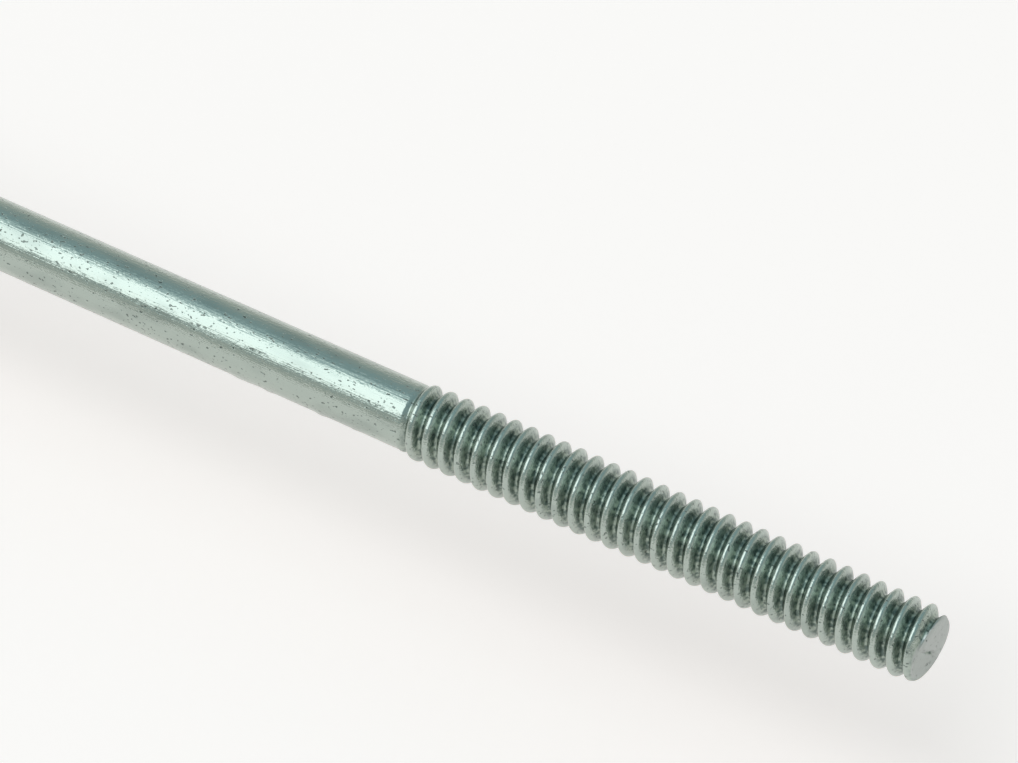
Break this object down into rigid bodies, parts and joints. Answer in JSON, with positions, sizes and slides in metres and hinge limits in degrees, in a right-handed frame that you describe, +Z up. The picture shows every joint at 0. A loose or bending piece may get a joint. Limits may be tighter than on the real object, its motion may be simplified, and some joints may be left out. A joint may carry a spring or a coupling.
{
  "type": "threaded rod",
  "caption": "Straight round rod of plated steel wire, plain along its shank, with a fine right-hand rolled thread on one end.",
  "frame": {"origin": "middle of the threaded end's sheared face, on the rod's axis", "axes": "+X along the rod's axis, out of the threaded end; the plain shank runs to -X; +Z up"},
  "size_m": [0.1525, 0.0028, 0.0028],
  "materials": {
    "zinc_plated_steel": "bright zinc plating over drawn wire, with fine drawing lines, small dark pits and grime in the thread"
  },
  "bodies": {
    "root": {"threaded_rod": "zinc_plated_steel"}
  },
  "joints": []
}
